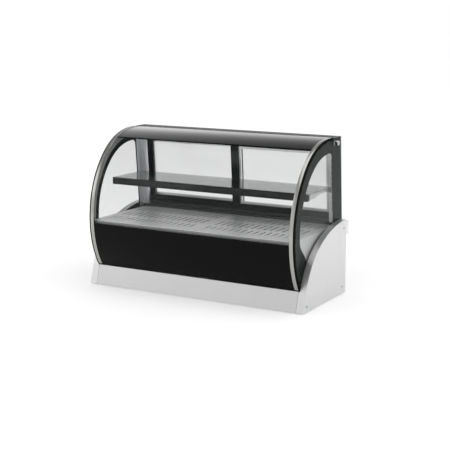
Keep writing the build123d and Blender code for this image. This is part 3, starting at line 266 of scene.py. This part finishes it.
def frontLine(offset, lowZ, endY):
    # arcs with shared centres, so a line moved inwards keeps its centres and has shorter radii;
    # angle 0 points to the customer and 90 degrees straight up
    midA = math.radians(line["midSweep"])
    topA = math.radians(line["midSweep"] + line["shoulderSweep"])
    step1 = line["midRadius"] - line["shoulderRadius"]
    step2 = line["shoulderRadius"] - line["crownRadius"]
    rise = step1 * math.sin(midA) + step2 * math.sin(topA) + line["crownRadius"]
    mid = np.array([bulgeY + line["midRadius"], topZ - rise])
    shoulder = mid + step1 * np.array([-math.cos(midA), math.sin(midA)])
    crown = shoulder + step2 * np.array([-math.cos(topA), math.sin(topA)])
    low = np.array([bulgeY + line["lowRadius"], line["bulgeHeight"]])
    lowStart = math.asin((lowZ - low[1]) / (line["lowRadius"] - offset))
    runs = [(low, line["lowRadius"], lowStart, 0.0, 26), (mid, line["midRadius"], 0.0, midA, 36),
            (shoulder, line["shoulderRadius"], midA, topA, 40),
            (crown, line["crownRadius"], topA, math.pi / 2, 10)]
    pieces = []
    for centre, radius, start, stop, count in runs:
        turn = np.linspace(start, stop, count)
        arc = np.stack([-np.cos(turn), np.sin(turn)], 1) * (radius - offset) + centre
        pieces.append(arc)
    tail = np.linspace(crown[0], endY, 5)[1:]
    pieces.append(np.stack([tail, np.full(4, topZ - offset)], 1))
    joined = np.concatenate(pieces)
    keep = np.r_[True, np.hypot(*np.diff(joined, axis=0).T) > 1e-6]
    return joined[keep]


def meshPiece(name, points, faces, material, smooth=30.0):
    # smooth is the angle in degrees past which an edge stays sharp, and 0 leaves every face flat
    data = bpy.data.meshes.new(name)
    data.from_pydata(points.reshape(-1, 3), [], faces)
    data.update()
    tidy = bmesh.new()
    tidy.from_mesh(data)
    bmesh.ops.remove_doubles(tidy, verts=tidy.verts, dist=1e-6)
    bmesh.ops.recalc_face_normals(tidy, faces=tidy.faces)
    tidy.to_mesh(data)
    tidy.free()
    data.materials.append(material)
    piece = bpy.data.objects.new(name, data)
    bpy.context.scene.collection.objects.link(piece)
    if smooth:
        data.shade_smooth()
        data.set_sharp_from_angle(angle=math.radians(smooth))
    return piece


def gridFaces(rows, columns, closeRows=False):
    # quads between neighbouring rows and columns of a grid of points, by index arithmetic
    r = np.arange(rows if closeRows else rows - 1)
    i, j = np.meshgrid(r, np.arange(columns - 1), indexing="ij")
    up, on = (i + 1) % rows, j + 1
    quads = np.stack([i * columns + j, up * columns + j, up * columns + on, i * columns + on], -1)
    return quads.reshape(-1, 4).tolist()


def roundedLoop(corners, radius, steps=4):
    # each corner becomes a parabola between the points a radius away on its two sides: the corner
    # plus radius times ((1 - t) squared towards the one before and t squared towards the one after)
    corners = np.array(corners, float)
    before = np.roll(corners, 1, 0) - corners
    after = np.roll(corners, -1, 0) - corners
    before /= np.linalg.norm(before, axis=1)[:, None]
    after /= np.linalg.norm(after, axis=1)[:, None]
    t = np.linspace(0, 1, steps)[None, :, None]
    curve = (1 - t) ** 2 * before[:, None] + t ** 2 * after[:, None]
    return (corners[:, None] + curve * radius).reshape(-1, 2)


def lineSkin(name, loop, lowZ, endY, material, neck=None):
    # each point of the loop is (x, inward offset); every offset gives its own front line, and the
    # lines side by side make a closed bar that follows the glass
    rows = []
    for x, offset in loop:
        yz = frontLine(offset, lowZ, endY)
        rows.append(np.column_stack([np.full(len(yz), x), yz]))
    points = np.stack(rows)
    if neck:
        half, fromY = neck
        narrow = points[..., 1] > fromY
        points[..., 0] = np.where(narrow, np.clip(points[..., 0], -half, half), points[..., 0])
    count, length = points.shape[:2]
    faces = gridFaces(count, length, closeRows=True)
    faces.append([i * length for i in range(count)])
    faces.append([i * length + length - 1 for i in range(count)])
    return meshPiece(name, points, faces, material)


def bandedGlass():
    # the front glass: black print at the foot and at the crown, clear between them
    band = {"footTop": 0.328, "crownFront": skirtLow.y + 0.192, "crownAbove": 0.6, "fade": 0.02,
            "edge": 0.0006}
    graph = Graph("frontGlass")
    z = graph.axis("Z")
    y = graph.axis("Y")
    foot = 1 - z.between(band["footTop"] - band["edge"], band["footTop"] + band["edge"])
    crown = y.between(band["crownFront"] - band["edge"], band["crownFront"] + band["edge"])
    crown = crown * z.between(band["crownAbove"], band["crownAbove"] + band["fade"])
    black = (foot + crown).clip()
    grazing = graph.grazing()
    wipe = graph.noise(graph.stretched((2.0, 5.0, 5.0)), 3.0, 4.0)
    clear = (grazing * 0.9 + wipe * 0.015 + 0.045).clip()
    alpha = (black + clear * (1 - black)).clip()
    base = graph.colour(black, (0.09, 0.10, 0.095), (0.0035, 0.0035, 0.0035))
    rough = wipe.fromTo(0.01, 0.04) + black * 0.3
    graph.material.surface_render_method = "BLENDED"
    return graph.finish(baseColor=base, roughness=rough, alpha=alpha, metallic=1 - black, coat=crown,
                        coatRoughness=0.03, specular=0.06)


finishes = {
    "galvanised": galvanised("galvanised", (0.56, 0.58, 0.60)),
    "foot_rubber": coated("footRubber", (0.02, 0.02, 0.02), 0.75),
    "end_cap_steel": brushedSteel("endCapSteel", 2, (0.66, 0.66, 0.66), 0.40, cloud=0.04),
    "skirt_steel": brushedSteel("skirtSteel", 0, (0.57, 0.57, 0.57), 0.36, cloud=0.05),
    "rear_steel": brushedSteel("rearSteel", 0, (0.72, 0.72, 0.72), 0.38),
    "foam": foamBlock("insulationFoam"),
    "liner_steel": brushedSteel("linerSteel", 0, (0.90, 0.90, 0.90), 0.5),
    "deck_steel": brushedSteel("deckSteel", 0, (0.90, 0.90, 0.895), 0.42, metal=0.55),
    "end_glass": clearGlass("endGlass", (0.09, 0.10, 0.095), 0.055, 1.0),
    "gasket_rubber": coated("gasketRubber", (0.004, 0.004, 0.004), 0.8, specular=0.03),
    "frame_aluminium": turnedMetal("millAluminium", (0.80, 0.81, 0.82), 0.32),
    "pin_steel": turnedMetal("pinSteel", (0.62, 0.62, 0.61), 0.28),
    "nylon": coated("nylon", (0.82, 0.82, 0.79), 0.5),
    "chrome_cap": polishedSteel("chromeCap", (0.42, 0.42, 0.43), 0.12),
    "front_glass": bandedGlass(),
    "trim_steel": polishedSteel("trimSteel", (0.38, 0.375, 0.36), 0.24),
    "black_aluminium": coated("blackAluminium", (0.010, 0.010, 0.0105), 0.38, specular=0.12),
    "post_aluminium": brushedSteel("postAluminium", 2, (0.70, 0.71, 0.72), 0.36),
    "door_black": coated("doorBlack", (0.007, 0.007, 0.0075), 0.3, specular=0.12),
    "door_glass": clearGlass("doorGlass", (0.14, 0.15, 0.145), 0.075, 1.0),
    "shelf_glass": clearGlass("shelfGlass", (0.15, 0.18, 0.16), 0.17, 1.0),
    "lens": lampLens("lampLens"),
    "compressor_black": coated("compressorEnamel", (0.012, 0.012, 0.013), 0.25, coat=0.5),
    "fin_aluminium": turnedMetal("finAluminium", (0.78, 0.79, 0.80), 0.35),
    "motor_black": coated("motorBlack", (0.03, 0.03, 0.03), 0.45, metallic=0.4),
    "copper": copperTube("copperTube"),
    "hose": coated("hoseRubber", (0.16, 0.16, 0.16), 0.6),
    "tray_plastic": coated("trayPlastic", (0.06, 0.06, 0.065), 0.45),
    "control_plastic": coated("controlPlastic", (0.025, 0.025, 0.027), 0.42),
    "box_plastic": coated("boxPlastic", (0.45, 0.46, 0.47), 0.48),
    "fan_plastic": coated("fanPlastic", (0.03, 0.03, 0.032), 0.4),
    "rocker_plastic": coated("rockerPlastic", (0.03, 0.26, 0.09), 0.2, coat=0.4),
    "button_rubber": coated("buttonRubber", (0.10, 0.10, 0.11), 0.55),
}
slotOf = {part["node"]: part["material_slot"] for part in frame["record"]["subparts"]}
for name, node in nodes.items():
    node.data.materials.clear()
    node.data.materials.append(finishes[slotOf[name]])
# nodes whose material differs from their slot's; the shell's white is painted light and the duct's darker
# steel is painted shade
ownFinishes = {
    # tank shell: painted light, a plain white in place of its galvanised steel so that its side, which the
    # lamps hardly reach, still reads bright
    "tank_shell": coated("shellPaintedLightWhite", (0.86, 0.86, 0.86), 0.4),
    "panel_screws": turnedMetal("screwHeads", (0.24, 0.24, 0.24), 0.35),
    "door_sill": coated("sillGrey", (0.036, 0.036, 0.037), 0.34, specular=0.35),
    # front air duct: painted shade, its steel toned down to a mid grey so that the strip under the deck's
    # front edge reads as the shade between the bright deck and the black below
    "front_air_duct": brushedSteel("ductSteelPaintedShade", 0, (0.40, 0.40, 0.40), 0.5),
}
for node, material in ownFinishes.items():
    nodes[node].data.materials[0] = material
print("materials:", len(finishes) + len(ownFinishes))


glass = {"edging": 0.001, "thick": 0.006, "round": 0.0012, "edge": 0.0075, "wrap": 0.008, "strip": 0.026,
         "stripRound": 0.00045, "neckGap": 0.0005, "neckBehind": 0.001}
glassLow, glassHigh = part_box("front_glass")


def makeFrontGlass():
    # a rounded rectangle as long as the case, carried along the front line behind the edging
    half = glassHigh.x
    near, far = glass["edging"], glass["edging"] + glass["thick"]
    loop = roundedLoop([(-half, near), (half, near), (half, far), (-half, far)], glass["round"])
    # behind the crown the sheet narrows to pass between the end glasses
    neck = (paneInner - glass["neckGap"], trimHigh.y + glass["neckBehind"])
    sheet = lineSkin("frontGlassSheet", loop, glassLow.z, glassHigh.y, finishes["front_glass"], neck)
    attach(sheet, "front_glass_lift")
    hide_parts("front_glass")


def makeEdging(side):
    # the steel strip is a flat bar on the glass, the rubber beside it is an L that wraps round its end
    end = side * sealHigh.x
    lip = end - side * glass["edging"]
    seam = end - side * glass["edge"]
    inner = end - side * glass["strip"]
    deep = glass["edging"]
    rubber = [(seam, 0.0), (end, 0.0), (end, glass["wrap"]), (lip, glass["wrap"]), (lip, deep), (seam, deep)]
    steel = [(inner, 0.0), (seam, 0.0), (seam, deep), (inner, deep)]
    word = "left" if side < 0 else "right"
    for name, corners, node, slot in ((word + "GlassTrim", steel, "glass_trims", "trim_steel"),
                                      (word + "GlassEdge", rubber, "glass_edge_seals", "gasket_rubber")):
        loop = roundedLoop(corners, glass["stripRound"], 3)
        strip = lineSkin(name, loop, trimLow.z, trimHigh.y, finishes[slot])
        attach(strip, "front_glass_lift")
        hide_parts(node)


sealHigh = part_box("glass_edge_seals")[1]
makeFrontGlass()
for side in (-1, 1):
    makeEdging(side)
print("front glass and edging made")


def makeGlazing(word):
    # both panes of a door and the gap between them as one closed slab: the hull of the panes' corners
    node = word + "_door_panes"
    data = bpy.data.meshes.new(word + "DoorGlazing")
    hull = bmesh.new()
    hull.from_mesh(nodes[node].data)
    bmesh.ops.remove_doubles(hull, verts=hull.verts, dist=1e-6)
    made = bmesh.ops.convex_hull(hull, input=hull.verts)
    inside = [e for e in made["geom_interior"] if isinstance(e, bmesh.types.BMVert)]
    bmesh.ops.delete(hull, geom=inside, context="VERTS")
    kept = {e for e in made["geom"] if isinstance(e, bmesh.types.BMFace)}
    bmesh.ops.delete(hull, geom=[f for f in hull.faces if f not in kept], context="FACES_ONLY")
    bmesh.ops.dissolve_limit(hull, angle_limit=0.01, verts=hull.verts, edges=hull.edges)
    bmesh.ops.recalc_face_normals(hull, faces=hull.faces)
    hull.to_mesh(data)
    hull.free()
    data.materials.append(finishes["door_glass"])
    slab = bpy.data.objects.new(data.name, data)
    bpy.context.scene.collection.objects.link(slab)
    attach(slab, word + "_door")
    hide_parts(node)


for word in ("left", "right"):
    makeGlazing(word)
print("door glazing made")


# black borders printed on the inside of the end glasses
border = {"frontWide": 0.072, "footExtra": 0.055, "footFrom": 0.33, "footRise": 0.10, "rearWide": 0.109,
          "corner": 0.026, "outer": 0.012, "above": 0.02, "behind": 0.00015, "thick": 0.0002,
          "step": 0.0001, "rearInset": 0.0015}
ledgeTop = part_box("rear_ledge")[1]


def stretchAlong(points, count=60):
    # the same path with evenly spaced points
    points = np.array(points)
    run = np.r_[0, np.cumsum(np.hypot(*np.diff(points, axis=0).T))]
    at = np.linspace(0, run[-1], count)
    return np.column_stack([np.interp(at, run, points[:, k]) for k in (0, 1)])


def makeBorder(side):
    # a band ruled straight from the pane's outline to the edge of its window, five points across,
    # with a second skin close behind it
    slope = (rearLow - rearTop) / np.linalg.norm(rearLow - rearTop)
    outer = frontLine(border["outer"], glassLow.z + border["above"], trimHigh.y)
    inner = frontLine(border["frontWide"], glassLow.z + border["above"], trimHigh.y)
    # the border widens smoothly towards its foot
    low = np.clip((border["footFrom"] - outer[:, 1]) / border["footRise"], 0, 1)
    low = low * low * (3 - 2 * low)
    away = (inner - outer) / np.linalg.norm(inner - outer, axis=1)[:, None]
    inner = inner + away * (low * border["footExtra"])[:, None]
    # rounded top rear corner of the window, then straight down beside the rear edge
    insetTop = topZ - border["frontWide"]
    r = border["corner"]
    cornerY = rearTop[0] - border["rearWide"] + (topZ - insetTop) * slope[0] / -slope[1]
    turn = np.linspace(0, math.pi / 2, 9)
    arc = np.column_stack([cornerY - r + r * np.sin(turn), insetTop - r + r * np.cos(turn)])
    innerLow = rearLow - np.array([border["rearWide"], 0])
    innerTail = np.vstack([inner[-1], arc, innerLow])
    stepUp = np.array([outer[-1][0], topZ])
    outerTail = np.vstack([outer[-1] + (0, border["step"]), stepUp, rearTop, rearLow])
    innerTail = stretchAlong(innerTail)
    outerTail = stretchAlong(outerTail)
    yzOuter = np.vstack([outer, outerTail[1:]])
    yzInner = np.vstack([inner, innerTail[1:]])
    blend = np.linspace(0, 1, 5)[:, None, None]
    yz = yzOuter * (1 - blend) + yzInner * blend
    x = side * (paneInner - border["behind"])
    front = np.concatenate([np.full(yz.shape[:2] + (1,), x), yz], -1)
    back = front - np.array([side * border["thick"], 0, 0])
    points = np.stack([front, back])
    rows, columns = yz.shape[:2]
    faces = gridFaces(rows, columns)
    shift = rows * columns
    faces += [[i + shift for i in reversed(face)] for face in faces]
    rim = list(range(columns)) + [row * columns + columns - 1 for row in range(1, rows)]
    rim += [(rows - 1) * columns + column for column in range(columns - 2, -1, -1)]
    rim += [row * columns for row in range(rows - 2, 0, -1)]
    faces += [[a, b, b + shift, a + shift] for a, b in zip(rim, rim[1:] + rim[:1])]
    piece = meshPiece("leftBorderPrint" if side < 0 else "rightBorderPrint", points, faces, printInk)
    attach(piece, "cabinet")


endMesh = nodes["end_glasses"].data
coords = np.array([v.co for v in endMesh.vertices])
flatTop = coords[:, 2] > topZ - 0.0005   # vertices in the level top edge of the panes
rearTop = np.array([coords[flatTop][:, 1].max(), topZ])
rearLow = np.array([ledgeTop.y - border["rearInset"], ledgeTop.z])
printInk = coated("printInk", (0.007, 0.0075, 0.007), 0.6, specular=0.02)
for side in (-1, 1):
    makeBorder(side)
print("printed borders made")


# satin strip inside the front edge of each end glass
innerStrip = {"from": 0.013, "to": 0.044, "thick": 0.0012, "off": 0.0006, "round": 0.0005,
              "lowZ": 0.335, "endY": 0.075}


def makeInnerStrip(side):
    x0 = side * (paneInner - innerStrip["off"])
    x1 = x0 - side * innerStrip["thick"]
    near, far = innerStrip["from"], innerStrip["to"]
    loop = roundedLoop([(x0, near), (x1, near), (x1, far), (x0, far)], innerStrip["round"], 3)
    strip = lineSkin("leftInnerStrip" if side < 0 else "rightInnerStrip", loop,
                     innerStrip["lowZ"], innerStrip["endY"], satinStrip)
    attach(strip, "cabinet")


satinStrip = coated("satinStrip", (0.33, 0.33, 0.325), 0.5)
for side in (-1, 1):
    makeInnerStrip(side)
print("inner strips made")


# satin flange of each corner post, inside the rear border
flange = {"fromEdge": 0.007, "wide": 0.078, "thick": 0.0015, "off": 0.0006, "round": 0.0005, "below": 0.052}
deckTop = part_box("deck_pans")[1].z


def makePostFlange(side):
    run = (rearLow - rearTop) / (rearTop[1] - rearLow[1])
    x0 = side * (paneInner - flange["off"])
    x1 = x0 - side * flange["thick"]
    near = flange["fromEdge"] - border["rearWide"]
    far = near + flange["wide"]
    loop = roundedLoop([(x0, near), (x1, near), (x1, far), (x0, far)], flange["round"], 3)
    # the flat section slides down the slanted rear line of the end glass
    height = np.linspace(topZ - flange["below"], deckTop, 24)
    shift = rearTop[0] + run[0] * (topZ - height)
    xs = np.broadcast_to(loop[:, 0, None], (len(loop), len(height)))
    points = np.stack([xs, loop[:, 1, None] + shift, np.broadcast_to(height, xs.shape)], -1)
    count, length = xs.shape
    faces = gridFaces(count, length, closeRows=True)
    faces.append([i * length for i in range(count)])
    faces.append([i * length + length - 1 for i in range(count)])
    name = "leftPostFlange" if side < 0 else "rightPostFlange"
    piece = meshPiece(name, points, faces, finishes["post_aluminium"])
    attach(piece, "cabinet")


for side in (-1, 1):
    makePostFlange(side)
print("post flanges made")


# deck plates with rows of slots, one each side of the middle
deck = {"halfGap": 0.0005, "pitchX": 0.034, "pitchY": 0.118, "slotHalf": 0.0042, "slotStraight": 0.094,
        "margin": 0.026, "thick": 0.0012, "lip": 0.0025}


def makeDeck(side):
    low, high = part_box("deck_pans")
    x0, x1 = (low.x, -deck["halfGap"]) if side < 0 else (deck["halfGap"], high.x)
    y0, y1, z1 = low.y, high.y, high.z
    m, w, half = deck["margin"], deck["slotHalf"], deck["slotStraight"] / 2
    columns = round((x1 - x0 - 2 * m) / deck["pitchX"])
    rows = round((y1 - y0 - 2 * m) / deck["pitchY"])
    px = (x1 - x0 - 2 * m) / columns
    py = (y1 - y0 - 2 * m) / rows
    # one cell: ten points on a round-ended slot, ten matching points on the cell's edge, top and underside
    turn = np.linspace(0, math.pi, 5)
    end = np.column_stack([np.cos(turn) * w, np.sin(turn) * w + half])
    edge = np.array([(px / 2, half), (px / 2, py / 2), (0, py / 2), (-px / 2, py / 2), (-px / 2, half)])
    ring = np.vstack([end, -end, edge, -edge])
    cell = np.vstack([np.column_stack([ring, np.full(20, z)]) for z in (z1, z1 - deck["thick"])])
    on = [(k + 1) % 10 for k in range(10)]
    cellFaces = [[10 + k, 10 + on[k], on[k], k] for k in range(10)]
    cellFaces += [[i + 20 for i in reversed(face)] for face in cellFaces]
    cellFaces += [[k, on[k], 20 + on[k], 20 + k] for k in range(10)]
    cx = x0 + m + px * (np.arange(columns) + 0.5)
    cy = y0 + m + py * (np.arange(rows) + 0.5)
    gx, gy = np.meshgrid(cx, cy, indexing="ij")
    centre = np.column_stack([gx.ravel(), gy.ravel(), np.zeros(gx.size)])
    points = (cell[None] + centre[:, None]).reshape(-1, 3)
    faces = (np.array(cellFaces)[None] + 40 * np.arange(len(centre))[:, None, None]).reshape(-1, 4).tolist()
    # plain margin round the slots, and the turned-down front lip
    count = len(points)
    inner = [(x0 + m, y0 + m), (x1 - m, y0 + m), (x1 - m, y1 - m), (x0 + m, y1 - m)]
    outer = [(x0, y0), (x1, y0), (x1, y1), (x0, y1)]
    rim = np.array([(x, y, z) for z in (z1, z1 - deck["thick"]) for x, y in inner + outer])
    for k in range(4):
        n = (k + 1) % 4
        faces.append([count + k, count + n, count + 4 + n, count + 4 + k])
        faces.append([count + 8 + k, count + 12 + k, count + 12 + n, count + 8 + n])
        if k:
            faces.append([count + 4 + k, count + 4 + n, count + 12 + n, count + 12 + k])
    back, down = y0 + deck["thick"], z1 - deck["lip"]
    profile = [(y0, z1), (y0, down), (back, down), (back, z1 - deck["thick"])]
    lip = np.array([(x, y, z) for x in (x0, x1) for y, z in profile])
    base = count + 16
    faces += [[base + k, base + k + 1, base + 5 + k, base + 4 + k] for k in range(3)]
    faces += [[base, base + 1, base + 2, base + 3], [base + 4, base + 5, base + 6, base + 7]]
    name = "leftDeckPlate" if side < 0 else "rightDeckPlate"
    plate = meshPiece(name, np.vstack([points, rim, lip]), faces, finishes["deck_steel"], 0)
    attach(plate, "cabinet")
    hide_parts("deck_pans")


for side in (-1, 1):
    makeDeck(side)
print("deck plates made")


# white studio: the floor's glow grows with the distance so that its edge melts into the horizon
studio = {"floor": (0.96, 0.96, 0.96), "half": 14.0, "world": 1.0,
          "floorGlow": 0.50, "nearGlow": (0.46, 0.46, 0.46), "glowFrom": 0.8, "glowFull": 2.4,
          "whiteTo": 0.30, "darkFrom": 0.85, "ceiling": (0.30, 0.30, 0.31)}
# place, size and power
softboxes = {"topSoftbox": ((0.2, -0.3, 3.2), 3.0, 40.0), "leftSoftbox": ((-3.0, -2.4, 2.2), 2.0, 14.0),
             "rightSoftbox": ((3.4, 0.6, 2.0), 2.0, 14.0)}


def makeStudio():
    floor = Graph("studioFloor")
    mottle = floor.noise(floor.place, 0.6, 2.0)
    shadeOf = floor.colour(mottle, shade(studio["floor"], 0.995), studio["floor"])
    away = floor.node("ShaderNodeVectorMath", {"operation": "LENGTH"}, {0: floor.place}, "Value")
    mask = away.between(studio["glowFrom"], studio["glowFull"])
    glow = floor.colour(mask, studio["nearGlow"], (1.0, 1.0, 1.0))
    floor.finish(baseColor=shadeOf, roughness=0.9, specular=0.1, emission=glow,
                 emissionStrength=studio["floorGlow"])
    half = studio["half"]
    corners = [(-half, -half, 0), (half, -half, 0), (half, half, 0), (-half, half, 0)]
    data = bpy.data.meshes.new("studioFloor")
    data.from_pydata(corners, [], [[0, 1, 2, 3]])
    data.materials.append(floor.material)
    ground = bpy.data.objects.new("studioFloor", data)
    bpy.context.scene.collection.objects.link(ground)
    world = bpy.data.worlds.new("studioWorld")
    world.use_nodes = True
    tree = world.node_tree
    # white round the horizon and a darker ceiling, which is what the curved top glass mirrors
    ray = tree.nodes.new("ShaderNodeTexCoord")
    height = tree.nodes.new("ShaderNodeSeparateXYZ")
    ramp = tree.nodes.new("ShaderNodeValToRGB")
    tree.links.new(ray.outputs["Generated"], height.inputs[0])
    tree.links.new(height.outputs["Z"], ramp.inputs[0])
    horizon, ceiling = ramp.color_ramp.elements
    horizon.position = studio["whiteTo"]
    horizon.color = (1.0, 1.0, 1.0, 1.0)
    ceiling.position = studio["darkFrom"]
    ceiling.color = (*studio["ceiling"], 1.0)
    tree.links.new(ramp.outputs[0], tree.nodes["Background"].inputs["Color"])
    tree.nodes["Background"].inputs["Strength"].default_value = studio["world"]
    bpy.context.scene.world = world
    for name, (spot, size, power) in softboxes.items():
        light = bpy.data.lights.new(name, "AREA")
        light.size = size
        light.energy = power
        lamp = bpy.data.objects.new(name, light)
        lamp.location = spot
        lamp.rotation_euler = (Vector((0, 0, 0.4)) - Vector(spot)).to_track_quat("-Z", "Y").to_euler()
        bpy.context.scene.collection.objects.link(lamp)
    bpy.context.scene.view_settings.view_transform = "Standard"


view = {"azimuth": 29.94, "elevation": 11.17, "roll": -0.11, "lens": 88.09,
        "spot": (2.7525, -4.4441, 1.3982)}


def makeCamera():
    data = bpy.data.cameras.new("productCamera")
    data.lens = view["lens"]
    data.sensor_width = 36.0
    camera = bpy.data.objects.new("productCamera", data)
    a, e, r = (math.radians(view[key]) for key in ("azimuth", "elevation", "roll"))
    back = Vector((math.sin(a) * math.cos(e), -math.cos(a) * math.cos(e), math.sin(e)))
    right = Vector((math.cos(a), math.sin(a), 0.0))
    up = back.cross(right)
    turned = Matrix((right, up, back)).transposed() @ Matrix.Rotation(r, 3, "Z")
    spot = Vector(view["spot"]) + Vector((0, skirtLow.y, 0))
    camera.matrix_world = Matrix.Translation(spot) @ turned.to_4x4()
    bpy.context.scene.collection.objects.link(camera)
    bpy.context.scene.camera = camera


makeStudio()
makeCamera()
print("studio and camera made")
